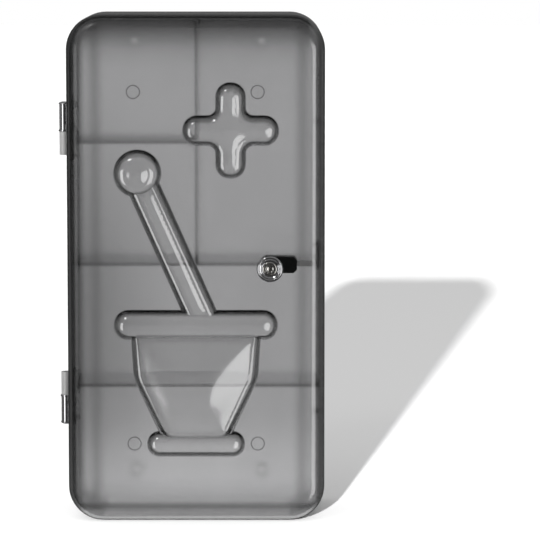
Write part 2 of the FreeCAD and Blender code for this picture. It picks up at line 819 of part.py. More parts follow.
def make_guide():
    spots = [
        (f"{LOCK_ACROSS} + guide_reach - guide_screw_inset", f"{BOLT_HEIGHT} + {up} * guide_screw_span / 2")
        for up in (-1, 1)
    ]
    base = plate("XZ_Plane", chamfered(LOCK_ACROSS, "0"), GUIDE_BASE_REAR, "guide_base_thick")
    disc = rod("guide_disc_radius", "guide_base_thick",
               (LOCK_ACROSS, f"-{GUIDE_BASE_REAR}", "lock_up"), "-y")
    arm = plate("XZ_Plane", chamfered(f"{LOCK_ACROSS} + guide_start", "0"), COVER_FRONT,
                f"{PANEL_IN} - {COVER_FRONT}")
    barrel_hole = double_flat("(barrel_radius + hole_play)", "(barrel_flats + 2 * hole_play)",
                              f"({GUIDE_BASE_REAR} - cut_overrun)", "(guide_base_thick + 2 * cut_overrun)")
    way_front = f"-({BOLT_FRONT} + bolt_gap)"
    way_depth = "bolt_thick + 2 * bolt_gap + cut_overrun"
    way_start = f"{LOCK_ACROSS} + guide_start - cut_overrun"
    tail_run = "guide_reach - guide_end_wall - guide_start + cut_overrun"
    channel = block(
        (way_start, way_front, f"{BOLT_HEIGHT} - tail_height / 2 - bolt_gap"),
        (tail_run, way_depth, "tail_height + 2 * bolt_gap"),
    )
    nose_way = block(
        (way_start, way_front, f"{BOLT_HEIGHT} - nose_height / 2 - bolt_gap"),
        ("guide_reach - guide_start + 2 * cut_overrun", way_depth, "nose_height + 2 * bolt_gap"),
    )
    threads = []
    for across, up in spots:
        start = (across, f"-({COVER_FRONT} - cut_overrun)", up)
        depth = "guide_screw_length + cut_overrun"
        threads.append(rod("guide_screw_radius + thread_play", depth, start, "-y"))
    piece("bolt_guide", cut(fuse(base, disc, arm), barrel_hole, channel, nose_way, *threads))

    lid_outline = chamfered(f"{LOCK_ACROSS} - cover_back", "guide_chamfer")
    lid = plate("XZ_Plane", lid_outline, COVER_REAR, "cover_thick")
    flange = "(guide_height / 2 - tail_height / 2 - bolt_gap)"
    rails = []
    for under in (f"{BOLT_HEIGHT} - guide_height / 2", f"{BOLT_HEIGHT} + guide_height / 2 - {flange}"):
        rails.append(block(
            (f"{LOCK_ACROSS} - cover_back + guide_chamfer", f"-{BOLT_FRONT}", under),
            ("cover_back - guide_chamfer + guide_start - fit_gap", f"{BOLT_FRONT} - {COVER_FRONT}", flange),
        ))
    openings = []
    screws = []
    for across, up in spots:
        start = (across, f"-{COVER_REAR}", up)
        openings.append(rod("guide_screw_radius + thread_play", "cover_thick", start, "-y"))
        screws.append(fuse(
            rod("guide_screw_head_radius", "guide_screw_head_height", start, "y"),
            rod("guide_screw_radius", "cover_thick + guide_screw_length", start, "-y"),
        ))
    piece("bolt_cover", cut(fuse(lid, *rails), *openings))
    group("guide_screws", screws)


def make_strike():
    """Steel plate on a moulded seat above the middle shelf; its front reaches down to the bolt's nose."""
    inner = f"{INNER_WIDTH} - strike_pad - strike_thick"
    low = f"{BOLT_HEIGHT} - nose_height / 2 - strike_gap - strike_margin"
    high = f"{STRIKE_FOOT} + strike_height"
    front = f"({BOLT_FRONT} + strike_lip)"
    rear = "-(tub_depth - strike_root)"
    neck = f"-({DOOR_BACK} + strike_relief)"
    outline = [
        (rear, STRIKE_FOOT),
        (rear, high),
        (f"-{front} + strike_chamfer", high),
        (f"-{front}", f"{high} - strike_chamfer"),
        (f"-{front}", f"{low} + strike_chamfer"),
        (f"-{front} + strike_chamfer", low),
        (neck, low),
        (neck, STRIKE_FOOT),
    ]
    flat = plate("YZ_Plane", outline, inner, "strike_thick")
    window = block(
        (f"{inner} - cut_overrun", f"-({BOLT_FRONT} + strike_gap)",
         f"{BOLT_HEIGHT} - nose_height / 2 - strike_gap"),
        ("strike_thick + 2 * cut_overrun", "bolt_thick + 2 * strike_gap", "nose_height + 2 * strike_gap"),
    )
    fasteners = []
    for up in (-1, 1):
        height = f"({STRIKE_FOOT} + strike_height / 2 + {up} * strike_screw_span / 2)"
        depth = "(tub_depth - strike_screw_setback)"
        fasteners.append(wall_screw(1, depth, height, "(strike_pad + strike_thick)"))
    holes = [hole for _, _, hole in fasteners]
    piece("strike_plate", cut(flat, window, *holes))
    group("strike_screws", [screw for screw, _, _ in fasteners])
    group("strike_nuts", [nut for _, nut, _ in fasteners])
    return holes


# The whole cabinet

upper, upper_notch = make_hinge("upper", "upper_hinge_height", 1)
lower, lower_notch = make_hinge("lower", "lower_hinge_height", -1)
tub_fasteners = upper["tub"] + lower["tub"]
door_fasteners = upper["door"] + lower["door"]
group("body_hinge_screws", [screw for screw, _, _ in tub_fasteners])
group("body_hinge_nuts", [nut for _, nut, _ in tub_fasteners])
group("door_hinge_screws", [screw for screw, _, _ in door_fasteners])
group("door_hinge_nuts", [nut for _, nut, _ in door_fasteners])
strike_holes = make_strike()
make_tub([upper_notch, lower_notch], [hole for _, _, hole in tub_fasteners] + strike_holes)
make_shelf("upper_shelf", "-divider_thick / 2 - fit_gap", "shelf_pitch", 1)
make_shelf("middle_shelf", f"{INNER_WIDTH} - fit_gap", "0", 2)
make_shelf("lower_shelf", f"{INNER_WIDTH} - fit_gap", "-shelf_pitch", 2)
make_divider()
make_door([upper_notch, lower_notch], [hole for _, _, hole in door_fasteners])
make_lock()
make_bolt()
make_guide()
doc.recompute()

# Every feature and every piece is sound before any file is written
failed = [item.Label for item in doc.Objects if {"Invalid", "Error"} & set(item.State)]
if failed:
    raise RuntimeError("features that failed: " + ", ".join(failed))
for item in pieces:
    if item.Shape.isNull() or not item.Shape.isValid() or not item.Shape.Solids:
        raise RuntimeError("piece without a sound solid: " + item.Label)

os.makedirs("parts", exist_ok=True)
for item in pieces:
    item.Shape.exportStep(f"parts/{item.Label}.step")
    print(item.Label, len(item.Shape.Solids), round(item.Shape.Volume, 1))
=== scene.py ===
"""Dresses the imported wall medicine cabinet: mouldings, hinges, fasteners, key lock and studio."""

import json
import math

import bmesh
import bpy
from bpy.props import FloatProperty, FloatVectorProperty, IntProperty, PointerProperty
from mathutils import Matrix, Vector


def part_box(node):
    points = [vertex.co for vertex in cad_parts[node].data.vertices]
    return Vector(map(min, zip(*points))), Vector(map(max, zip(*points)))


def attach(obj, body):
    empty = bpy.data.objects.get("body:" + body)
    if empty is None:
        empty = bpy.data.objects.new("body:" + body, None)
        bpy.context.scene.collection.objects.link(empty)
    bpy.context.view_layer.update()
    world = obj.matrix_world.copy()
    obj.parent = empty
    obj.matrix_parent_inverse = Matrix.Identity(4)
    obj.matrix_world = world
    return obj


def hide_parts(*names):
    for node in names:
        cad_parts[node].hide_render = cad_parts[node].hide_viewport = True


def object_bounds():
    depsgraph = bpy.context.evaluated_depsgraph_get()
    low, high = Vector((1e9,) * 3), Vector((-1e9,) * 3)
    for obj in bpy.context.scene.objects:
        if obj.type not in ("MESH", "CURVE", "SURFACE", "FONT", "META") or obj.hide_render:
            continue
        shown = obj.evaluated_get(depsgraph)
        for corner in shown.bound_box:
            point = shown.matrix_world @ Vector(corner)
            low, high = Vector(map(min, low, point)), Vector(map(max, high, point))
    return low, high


bl_info = {
    "name": "Smoke Medicine Cabinet",
    "version": (1, 0, 0),
    "blender": (4, 5, 0),
    "location": "View3D > Sidebar > Cabinet",
    "description": "Finishes for a translucent wall cabinet with a relief door and a key lock",
    "category": "Object",
}

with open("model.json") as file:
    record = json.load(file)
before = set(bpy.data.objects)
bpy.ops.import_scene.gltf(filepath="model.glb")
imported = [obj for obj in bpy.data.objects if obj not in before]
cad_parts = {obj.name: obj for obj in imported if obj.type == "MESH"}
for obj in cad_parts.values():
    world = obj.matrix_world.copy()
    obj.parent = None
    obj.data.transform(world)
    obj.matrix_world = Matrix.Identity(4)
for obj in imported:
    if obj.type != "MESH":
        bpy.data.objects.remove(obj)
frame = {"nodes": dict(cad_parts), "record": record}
CAD_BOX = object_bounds()
NODES = frame["nodes"]
BODY_OF = {
    node: body
    for body, nodes in frame["record"]["behaviour"]["bodies"].items()
    for node in nodes
}
DOOR_LOW, DOOR_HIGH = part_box("door_shell")
TUB_LOW, TUB_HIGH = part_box("cabinet_shell")
BEZEL_RISE = 0.0024
PANEL_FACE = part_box("lock_barrel")[0].y + BEZEL_RISE


# Sizes and colours

def colour(name, text, value):
    return FloatVectorProperty(
        name=name, description=text, subtype="COLOR", size=3, min=0, max=1, default=value,
    )


def length(name, text, value):
    return FloatProperty(
        name=name, description=text, unit="LENGTH", precision=5, min=0, default=value,
    )


def share(name, text, value):
    return FloatProperty(
        name=name, description=text, subtype="FACTOR", min=0, max=1, default=value,
    )


def angle(name, text, degrees):
    return FloatProperty(
        name=name, description=text, subtype="ANGLE", default=math.radians(degrees),
    )


def place(name, text, value):
    return FloatProperty(name=name, description=text, unit="LENGTH", precision=5, default=value)


def amount(name, text, value):
    return FloatProperty(name=name, description=text, subtype="UNSIGNED", min=0, default=value)


class PlasticSettings(bpy.types.PropertyGroup):
    """The smoke-grey moulded plastic."""

    tint: colour("Smoke tint", "Light left after one wall of the plastic", (0.735, 0.735, 0.74))
    sheet_tint: colour("Shelf tint", "Light left after one shelf", (0.93, 0.93, 0.935))
    # Painted shade: the tint falls to this share where the masks paint the deepest shade, at rims,
    # flanks, folds and marks
    deep: share("Painted shade tint", "Share of the tint left where the plastic is thickest", 0.1)
    density: amount("Depth of smoke", "Absorption per metre along long paths", 24)
    sheet_density: amount("Depth of shelves", "Absorption per metre inside the shelves", 6)
    satin: share("Satin roughness", "Roughness of the spark-eroded outer face", 0.22)
    polish: share("Polished roughness", "Roughness of the relief and the inner faces", 0.035)
    grain: length("Satin grain", "Size of the pits in the satin face", 0.0007)
    crease: angle("Crease", "Edges sharper than this stay crisp", 32)
    crown: length("Crown", "Most that a relief top is drawn up", 0.007)
    crown_share: share("Crown share", "Height of a crown as a share of half its width", 0.18)
    grid: length("Crown grid", "Size of the facets on the crowned relief", 0.002)


class MetalSettings(bpy.types.PropertyGroup):
    """The plated and painted metal pieces."""

    chrome: colour("Chrome", "Colour of the chromed steel", (0.66, 0.66, 0.67))
    satin_steel: colour("Satin steel", "Colour of the door leaves", (0.92, 0.92, 0.91))
    zinc: colour("Zinc", "Colour of the plated fasteners", (0.5, 0.5, 0.51))
    nickel: colour("Nickel", "Colour of the plated lock plug", (0.58, 0.57, 0.55))
    black: colour("Black", "Colour of the painted bolt guide", (0.1, 0.1, 0.104))
    crease: angle("Crease", "Edges sharper than this stay crisp", 30)
    edge: length("Broken edge", "Width of the broken edges", 0.00022)
    edge_from: angle("Broken from", "Edges sharper than this are broken", 40)


class FastenerSettings(bpy.types.PropertyGroup):
    """Cross-recessed screws and chamfered nuts."""

    recess_width: length("Recess width", "Width of one arm of the cross recess", 0.0007)
    recess_share: share("Recess length", "Length of the cross as a share of the head", 0.66)
    recess_depth: length("Recess depth", "Depth of the cross recess", 0.0009)
    pitch: length("Thread pitch", "Distance between turns of the thread", 0.0005)
    wall_head: length("Wall screw head", "Height of a countersunk head", 0.0016)
    wall_shank: length("Wall screw shank", "Radius of a countersunk screw's shank", 0.0015)
    cover_head: length("Cover screw head", "Height of a cover screw's head", 0.0012)
    cover_shank: length("Cover screw shank", "Radius of a cover screw's shank", 0.001)
    cover_taper: share("Cover screw taper", "Outer face of the head as a share of its foot", 0.84)
    bore: length("Nut bore", "Radius of the hole in a nut", 0.00155)
    crease: angle("Crease", "Edges sharper than this stay crisp", 32)
    recess_over: amount("Recess over neck", "Longest recess as a multiple of the neck", 1.3)
    sides: IntProperty(
        name="Facets", description="Facets round a screw", subtype="UNSIGNED", min=12, default=28,
    )


class StageSettings(bpy.types.PropertyGroup):
    """Floor, light and camera."""

    floor: share("Floor", "Lightness of the floor", 0.9)
    ambient: share("Ambient", "Level of the soft light all round", 0.64)
    dark: share("Dark surround", "What gloss and clear plastic see beside lit places", 0.05)
    high: share("High surround", "What the clear plastic shows of the room above", 0.34)
    level: share("Level surround", "What the clear plastic shows of the room about it", 0.95)
    gloss_behind: share("Gloss behind", "What gloss sees more of the room behind", 0.06)
    gloss_above: share("Gloss above", "What gloss sees more of the room above", 0.22)
    gloss_beside: share("Gloss beside", "What gloss sees more of the room at the sides", 0.15)
    # Painted light: these strips glow on the floor; no lamp lights them
    strip: length("Lit strip", "Half the width of the lit strips on the floor", 0.3)
    sun: amount("Sun", "Strength of the lamp that throws the shadow", 9)
    distance: length("Camera distance", "From the camera to the door panel", 2.8)
    drop: angle("Camera drop", "How far the camera looks down", 6.4)
    across: place("Aim across", "Where the camera aims, to the right", 0.0678)
    height: place("Aim height", "Where the camera aims, upward", 0.0007)
    view_width: length("View width", "Width of the picture at the door panel", 0.4929)


# Shader sums

class Field:
    """A shader socket that takes part in Python sums."""

    def __init__(self, finish, socket):
        self.finish = finish
        self.socket = socket

    def math(self, operation, first, second):
        return self.finish.add("ShaderNodeMath", {"operation": operation}, {0: first, 1: second})

    def __add__(self, other):
        return self.math("ADD", self, other)

    def __sub__(self, other):
        return self.math("SUBTRACT", self, other)

    def __rsub__(self, other):
        return self.math("SUBTRACT", other, self)

    def __mul__(self, other):
        return self.math("MULTIPLY", self, other)

    def __pow__(self, other):
        return self.math("POWER", self, other)

    def __abs__(self):
        return self.math("ABSOLUTE", self, 0)

    def most(self, other):
        return self.math("MAXIMUM", self, other)

    __radd__ = __add__
    __rmul__ = __mul__


class Finish:
    """A node tree under construction, for a material or the world."""

    def __init__(self, owner):
        owner.use_nodes = True
        self.owner = owner
        self.tree = owner.node_tree
        self.tree.nodes.clear()

    def add(self, kind, settings=None, values=None, out=0):
        """Add a node with its settings, then the values or links of its sockets."""
        node = self.tree.nodes.new(kind)
        for key, value in (settings or {}).items():
            setattr(node, key, value)
        for key, value in (values or {}).items():
            if isinstance(value, Field):
                self.tree.links.new(value.socket, node.inputs[key])
            else:
                node.inputs[key].default_value = value
        return Field(self, node.outputs[out])

    def place(self, axis=None):
        """Object coordinates, or one axis of them."""
        spot = self.add("ShaderNodeTexCoord", out="Object")
        return self.along(spot, axis) if axis else spot

    def along(self, spot, axis):
        """One axis of a vector."""
        return self.add("ShaderNodeSeparateXYZ", values={"Vector": spot}, out=axis)

    def stretched(self, factors):
        """Object coordinates with each axis scaled, for brushed marks."""
        return self.add("ShaderNodeMapping", values={"Vector": self.place(), "Scale": factors})

    def noise(self, scale, detail=3, spot=None):
        return self.add("ShaderNodeTexNoise", values={
            "Vector": spot or self.place(), "Scale": scale, "Detail": detail,
        })

    def step(self, value, low, high):
        """0 below low and 1 above high, with a smooth change between; low may be the larger."""
        return self.add("ShaderNodeMapRange", {"interpolation_type": "SMOOTHSTEP"}, {
            "Value": value, "From Min": low, "From Max": high,
        })

    def band(self, value, centre, half_width):
        """1 at the centre, falling to 0 at half a width to each side."""
        return self.step(abs(value - centre), half_width, 0)

    def blend(self, factor, first, second):
        return self.add("ShaderNodeMix", {"data_type": "RGBA"}, {
            "Factor": factor, 6: first, 7: second,
        }, out=2)

    def bump(self, height, strength, distance):
        return self.add("ShaderNodeBump", values={
            "Height": height, "Strength": strength, "Distance": distance,
        })

    def ray(self, kind):
        """1 for rays of one kind."""
        return self.add("ShaderNodeLightPath", out=f"Is {kind} Ray")

    def surface(self, values, density=None):
        """Close a material with its surface, and with smoke inside where it has a density."""
        shader = self.add("ShaderNodeBsdfPrincipled", values=values)
        output = {"Surface": shader}
        if density:
            output["Volume"] = self.add("ShaderNodeVolumeAbsorption", values={
                "Color": (0, 0, 0, 1), "Density": density,
            })
        self.close(output)

    def close(self, values, kind="ShaderNodeOutputMaterial"):
        """Link what is made to the tree's output."""
        node = self.tree.nodes.new(kind)
        for key, value in values.items():
            self.tree.links.new(value.socket, node.inputs[key])


def material(name):
    return Finish(bpy.data.materials.new(name))


def rgba(values):
    return (*values, 1)


def toned(values, *tones):
    """A colour times one tone, or times a tone for each of its parts."""
    return rgba([level * tone for level, tone in zip(values, tones * (3 // len(tones)))])


def smoke_plastic(settings, name, tint, density, satin_mask, tone_and_painted_shade, gloss_mask=None, ior=1.49):
    """Translucent moulding; its masks say where it is satin, where its tint has painted shade and
    where it has gloss.
    """
    finish = material(name)
    satin = satin_mask(finish)
    flow = finish.noise(38, 4, finish.stretched((1, 1, 0.35)))
    pits = finish.noise(1 / settings.grain, 2)
    rub = finish.step(finish.noise(160, 6), 0.56, 0.74)
    roughness = settings.polish + satin * (settings.satin - settings.polish)
    # Painted shade from the mask, times a little random tone; on the shelves the mask is random
    # tone only
    left = tone_and_painted_shade(finish) * (0.97 + finish.step(flow, 0.3, 0.7) * 0.03)
    finish.surface({
        "Base Color": finish.blend(left, toned(tint, settings.deep), rgba(tint)),
        "Roughness": roughness + flow * 0.02 + rub * 0.02,
        "IOR": ior,
        "Transmission Weight": 1.0,
        "Coat Weight": gloss_mask(finish) if gloss_mask else 0,
        "Coat IOR": 2.1,
        "Coat Roughness": 0.15,
        "Normal": finish.bump(pits * satin, 0.02, 0.00003),
    }, density)
    return finish.owner


def chromed_steel(settings):
    finish = material("chromed steel")
    haze = finish.noise(260, 5)
    marks = finish.step(finish.noise(900, 3, finish.stretched((1, 1, 0.08))), 0.62, 0.7)
    finish.surface({
        "Base Color": finish.blend(haze, toned(settings.chrome, 0.8), rgba(settings.chrome)),
        "Metallic": 1.0,
        "Roughness": haze * 0.06 + marks * 0.1 + 0.03,
        "Normal": finish.bump(haze + marks * 0.3, 0.05, 0.00004),
    })
    return finish.owner


def satin_steel(settings):
    finish = material("satin steel")
    brush = finish.noise(2600, 4, finish.stretched((1, 1, 0.03)))
    stain = finish.noise(90, 4)
    dull = toned(settings.satin_steel, 0.72)
    finish.surface({
        "Base Color": finish.blend(stain, dull, rgba(settings.satin_steel)),
        "Metallic": 0.6,
        "Roughness": brush * 0.2 + stain * 0.1 + 0.38,
        "Normal": finish.bump(brush, 0.25, 0.00005),
    })
    return finish.owner


def bright_zinc(settings):
    finish = material("bright zinc plate")
    spangle = finish.add("ShaderNodeTexVoronoi", values={"Vector": finish.place(), "Scale": 900})
    haze = finish.noise(420, 4)
    warm = toned(settings.zinc, 0.86, 0.85, 0.8)
    finish.surface({
        "Base Color": finish.blend(haze, warm, rgba(settings.zinc)),
        "Metallic": 1.0,
        "Roughness": spangle * 0.16 + haze * 0.16 + 0.22,
        "Normal": finish.bump(haze, 0.1, 0.00004),
    })
    return finish.owner


def lock_nickel(settings):
    finish = material("lock nickel")
    turning = finish.noise(1800, 3, finish.stretched((1, 0.05, 1)))
    wear = finish.step(finish.noise(700, 5), 0.5, 0.66)
    brassy = toned(settings.nickel, 0.92, 0.86, 0.74)
    finish.surface({
        "Base Color": finish.blend(wear * 0.6, rgba(settings.nickel), brassy),
        "Metallic": 1.0,
        "Roughness": turning * 0.14 + wear * 0.12 + 0.1,
        "Normal": finish.bump(turning, 0.1, 0.00003),
    })
    return finish.owner


def guide_black(settings):
    finish = material("satin black paint")
    peel = finish.noise(1400, 4)
    dust = finish.step(finish.noise(240, 6), 0.55, 0.75)
    finish.surface({
        "Base Color": finish.blend(dust, rgba(settings.black), toned(settings.black, 1.5)),
        "Roughness": peel * 0.16 + dust * 0.12 + 0.36,
        "Normal": finish.bump(peel, 0.3, 0.00008),
    })
    return finish.owner


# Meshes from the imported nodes

MILLIMETRES = 1000
SAME_SPOT = 2e-6
FLAT_FACE = math.radians(0.5)
FACES_FRONT = 0.9999
RELIEF_TOP = 0.005
CROWN_POWER = 1.2


def opened(node):
    """The node's solid in a mesh under construction, its loose triangles joined."""
    work = bmesh.new()
    work.from_mesh(NODES[node].data)
    bmesh.ops.remove_doubles(work, verts=work.verts, dist=SAME_SPOT)
    return work


def merged(node, flatten=False):
    """The node's solid as one closed mesh; flatten joins the triangles of its flat faces."""
    work = opened(node)
    if flatten:
        bmesh.ops.dissolve_limit(
            work, angle_limit=FLAT_FACE, verts=work.verts, edges=work.edges, delimit={"NORMAL"},
        )
    number = {vert: index for index, vert in enumerate(work.verts)}
    spots = [tuple(vert.co) for vert in work.verts]
    faces = [[number[vert] for vert in face.verts] for face in work.faces]
    work.free()
    mesh = bpy.data.meshes.new(node)
    mesh.from_pydata(spots, [], faces)
    return mesh


def groups(items, near):
    """Sort parts of a mesh into lists that hang together; near gives the parts beside one."""
    waiting = dict.fromkeys(items)
    found = []
    while waiting:
        group = [waiting.popitem()[0]]
        for item in group:
            for other in near(item):
                if other in waiting:
                    del waiting[other]
                    group.append(other)
        found.append(group)
    return found


def relief_tops(work):
    """The flat tops of the relief, outside and inside, as lists of faces that hang together."""
    flat = [
        face for face in work.faces
        if abs(face.normal.y) > FACES_FRONT
        and face.calc_center_median().y < PANEL_FACE - RELIEF_TOP
    ]
    return groups(flat, lambda face: [
        other for edge in face.edges for other in edge.link_faces
    ])


def islands(node):
    """Low and high corners of each solid in a node."""
    work = opened(node)
    solids = groups(work.verts, lambda vert: [
        other for edge in vert.link_edges for other in edge.verts
    ])
    boxes = []
    for solid in solids:
        axes = list(zip(*(vert.co for vert in solid)))
        boxes.append((Vector(map(min, axes)), Vector(map(max, axes))))
    work.free()
    return sorted(boxes, key=lambda box: tuple(box[0]))


def edge_hold(point, first, last):
    """How much an edge holds a point down: 1 / distance squared, summed along the edge."""
    near, far = first - point, last - point
    height = near.cross(far).length / (last - first).length
    if height < 1e-6:
        return abs(1 / near.length - 1 / far.length)
    return near.angle(far) / height


def gridded(work, face, grid):
    """Cut a flat face in the XZ plane into squares and return its pieces."""
    parts = [face, *face.edges, *face.verts]
    corners = [vert.co.copy() for vert in face.verts]
    for axis in (0, 2):
        square = Vector([1 if each == axis else 0 for each in range(3)])
        low = min(corner[axis] for corner in corners)
        high = max(corner[axis] for corner in corners)
        for step in range(math.ceil(low / grid), math.floor(high / grid) + 1):
            parts = bmesh.ops.bisect_plane(
                work, geom=parts, dist=1e-7, plane_co=square * step * grid, plane_no=square,
            )["geom"]
    return [part for part in parts if isinstance(part, bmesh.types.BMFace)]


def crowned(mesh, settings):
    """The door's mesh with each flat top of its relief drawn up to a soft crown."""
    work = bmesh.new()
    work.from_mesh(mesh)
    work.normal_update()
    for top in relief_tops(work):
        face = bmesh.ops.dissolve_faces(work, faces=top)["region"][0]
        ends = [(edge.verts[0].co.copy(), edge.verts[1].co.copy()) for edge in face.edges]
        inside = set(gridded(work, face, settings.grid))
        verts = {vert for each in inside for vert in each.verts}
        free = [vert for vert in verts if all(each in inside for each in vert.link_faces)]
        rise = {vert: 1 / sum(edge_hold(vert.co, *pair) for pair in ends) for vert in free}
        highest = max(rise.values(), default=1)
        crown = min(2 * math.pi * highest * settings.crown_share, settings.crown)
        for vert, level in rise.items():
            vert.co.y -= crown * (level / highest) ** CROWN_POWER
    result = bpy.data.meshes.new(mesh.name)
    work.to_mesh(result)
    work.free()
    return result


def finished(mesh, name, finish, nodes, crease):
    """Put a mesh into the scene as the piece that stands for some nodes of one body."""
    mesh.shade_smooth()
    mesh.set_sharp_from_angle(angle=crease)
    mesh.materials.clear()
    mesh.materials.append(finish)
    piece = bpy.data.objects.new(name, mesh)
    bpy.context.scene.collection.objects.link(piece)
    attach(piece, BODY_OF[nodes[0]])
    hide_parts(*nodes)
    return piece


def moulding(node, finish, settings, mesh=None):
    """A plastic piece for a node, with normals that follow its large faces."""
    piece = finished(mesh or merged(node), node + "_moulding", finish, [node], settings.crease)
    shading = piece.modifiers.new("Even normals", "WEIGHTED_NORMAL")
    shading.mode = "FACE_AREA"
    shading.keep_sharp = True


def metal_piece(node, finish, settings, mesh=None):
    """A metal piece for a node, with broken edges."""
    mesh = mesh or merged(node, flatten=True)
    piece = finished(mesh, node + "_metal", finish, [node], settings.crease)
    edges = piece.modifiers.new("Broken edges", "BEVEL")
    edges.width = settings.edge
    edges.segments = 2
    edges.limit_method = "ANGLE"
    edges.angle_limit = settings.edge_from
    edges.harden_normals = True


def turned(name, profile, centre, axis, steps=72):
    """Closed body of revolution; a profile point is a radius and a height, in millimetres."""
    work = bmesh.new()
    side = axis.orthogonal().normalized()
    verts = [
        work.verts.new(centre + side * (radius / MILLIMETRES) + axis * (rise / MILLIMETRES))
        for radius, rise in profile
    ]
    edges = [work.edges.new(pair) for pair in zip(verts, verts[1:])]
    bmesh.ops.spin(
        work, geom=verts + edges, cent=centre, axis=axis, angle=math.tau, steps=steps,
        use_duplicate=False,
    )
    bmesh.ops.remove_doubles(work, verts=work.verts, dist=1e-6)
    bmesh.ops.recalc_face_normals(work, faces=work.faces)
    mesh = bpy.data.meshes.new(name)
    work.to_mesh(mesh)
    work.free()
    return mesh


def carved(mesh, cutter):
    """The mesh less the cutter, as a new mesh."""
    holders = []
    for each in (mesh, cutter):
        holders.append(bpy.data.objects.new(each.name, each))
        bpy.context.scene.collection.objects.link(holders[-1])
    work = holders[0].modifiers.new("Carve", "BOOLEAN")
    work.operation = "DIFFERENCE"
    work.solver = "EXACT"
    work.object = holders[1]
    ready = holders[0].evaluated_get(bpy.context.evaluated_depsgraph_get())
    result = bpy.data.meshes.new_from_object(ready)
    for holder in holders:
        bpy.data.objects.remove(holder)
    if len(result.polygons) < len(mesh.polygons):
        raise RuntimeError(f"carving {mesh.name} lost its faces")
    return result


# Screws and nuts

FLOAT = "NodeSocketFloat"
THREAD_CORE = 0.9
THREAD_TOOTH = 0.08
THREAD_STEPS = 14
CHAMFER_WIDE = 1.45
CHAMFER_NARROW = 0.9
CHAMFER_SIDES = 36
BORE_SIDES = 24


class Tree:
    """A Geometry Nodes tree under construction, with named inputs for its sizes."""

    def __init__(self, name, *sizes):
        self.tree = bpy.data.node_groups.new(name, "GeometryNodeTree")
        face = self.tree.interface
        face.new_socket("Geometry", in_out="INPUT", socket_type="NodeSocketGeometry")
        face.new_socket("Geometry", in_out="OUTPUT", socket_type="NodeSocketGeometry")
        self.keys = {}
        for word, kind in {**dict.fromkeys(sizes, FLOAT), "Material": "NodeSocketMaterial"}.items():
            item = face.new_socket(word, in_out="INPUT", socket_type=kind)
            self.keys[word] = item.identifier
        self.given = self.tree.nodes.new("NodeGroupInput").outputs

    def add(self, kind, settings=None, values=None, out=0):
        node = self.tree.nodes.new(kind)
        for key, value in (settings or {}).items():
            setattr(node, key, value)
        for key, value in (values or {}).items():
            for each in value if isinstance(value, list) else [value]:
                if isinstance(each, bpy.types.NodeSocket):
                    self.tree.links.new(each, node.inputs[key])
                else:
                    node.inputs[key].default_value = each
        return node.outputs[out]

    def sum(self, operation, first, second):
        return self.add("ShaderNodeMath", {"operation": operation}, {0: first, 1: second})

    def times(self, first, second):
        return self.sum("MULTIPLY", first, second)

    def vector(self, x=0.0, y=0.0, z=0.0):
        return self.add("ShaderNodeCombineXYZ", values={"X": x, "Y": y, "Z": z})

    def shifted(self, shape, z):
        return self.add("GeometryNodeTransform", values={
            "Geometry": shape, "Translation": self.vector(z=z),
        })

    def cylinder(self, sides, radius, depth):
        return self.add("GeometryNodeMeshCylinder", values={
            "Vertices": sides, "Radius": radius, "Depth": depth,
        })

    def cone(self, sides, top, bottom, depth):
        return self.add("GeometryNodeMeshCone", values={
            "Vertices": sides, "Radius Top": top, "Radius Bottom": bottom, "Depth": depth,
        })

    def carved(self, operation, first, other):
        values = {"Mesh 2": [first, other]}
        if operation == "DIFFERENCE":
            values = {"Mesh 1": first, "Mesh 2": other}
        return self.add(
            "GeometryNodeMeshBoolean", {"operation": operation, "solver": "EXACT"}, values,
        )

    def joined(self, *shapes):
        return self.add("GeometryNodeJoinGeometry", values={"Geometry": list(shapes)})

    def repeat(self, shape):
        """Set the shape on every point along its axis attribute and close the tree."""
        axis = self.add(
            "GeometryNodeInputNamedAttribute", {"data_type": "FLOAT_VECTOR"}, {"Name": "axis"},
        )
        turn = self.add("FunctionNodeAlignRotationToVector", {"axis": "Z"}, {"Vector": axis})
        copies = self.add("GeometryNodeInstanceOnPoints", values={
            "Points": self.given["Geometry"], "Instance": shape, "Rotation": turn,
        })
        real = self.add("GeometryNodeRealizeInstances", values={"Geometry": copies})
        done = self.add("GeometryNodeSetMaterial", values={
            "Geometry": real, "Material": self.given["Material"],
        })
        self.tree.links.new(done, self.tree.nodes.new("NodeGroupOutput").inputs["Geometry"])


def screw_tree(settings):
    """A headed screw whose outer face lies at the point, its shank along minus the axis."""
    work = Tree(
        "Cross-recessed screw", "Face Radius", "Neck Radius", "Head Height", "Shank Radius",
        "Shank Length", "Recess Length", "Recess Width", "Recess Depth", "Thread Pitch",
    )
    given = work.given
    head_height, shank_length = given["Head Height"], given["Shank Length"]
    head = work.cone(settings.sides, given["Face Radius"], given["Neck Radius"], head_height)
    head = work.shifted(head, work.times(head_height, -1))
    long, wide = given["Recess Length"], given["Recess Width"]
    deep = work.times(given["Recess Depth"], 2)
    arms = [
        work.add("GeometryNodeMeshCube", values={"Size": work.vector(*size, deep)})
        for size in ((long, wide), (wide, long))
    ]
    head = work.carved("DIFFERENCE", head, work.carved("UNION", *arms))
    core = work.times(given["Shank Radius"], THREAD_CORE)
    shank = work.cylinder(settings.sides, core, shank_length)
    middle = work.sum("SUBTRACT", work.times(shank_length, -0.5), head_height)
    ridge = work.add("GeometryNodeCurveSpiral", values={
        "Resolution": THREAD_STEPS, "Start Radius": core, "End Radius": core,
        "Rotations": work.sum("DIVIDE", shank_length, given["Thread Pitch"]),
        "Height": shank_length,
    })
    tooth = work.add("GeometryNodeCurvePrimitiveCircle", values={
        "Resolution": 4, "Radius": work.times(given["Shank Radius"], THREAD_TOOTH),
    })
    thread = work.add("GeometryNodeCurveToMesh", values={
        "Curve": ridge, "Profile Curve": tooth, "Fill Caps": True,
    })
    foot = work.times(work.sum("ADD", shank_length, head_height), -1)
    work.repeat(work.joined(head, work.shifted(shank, middle), work.shifted(thread, foot)))
    return work


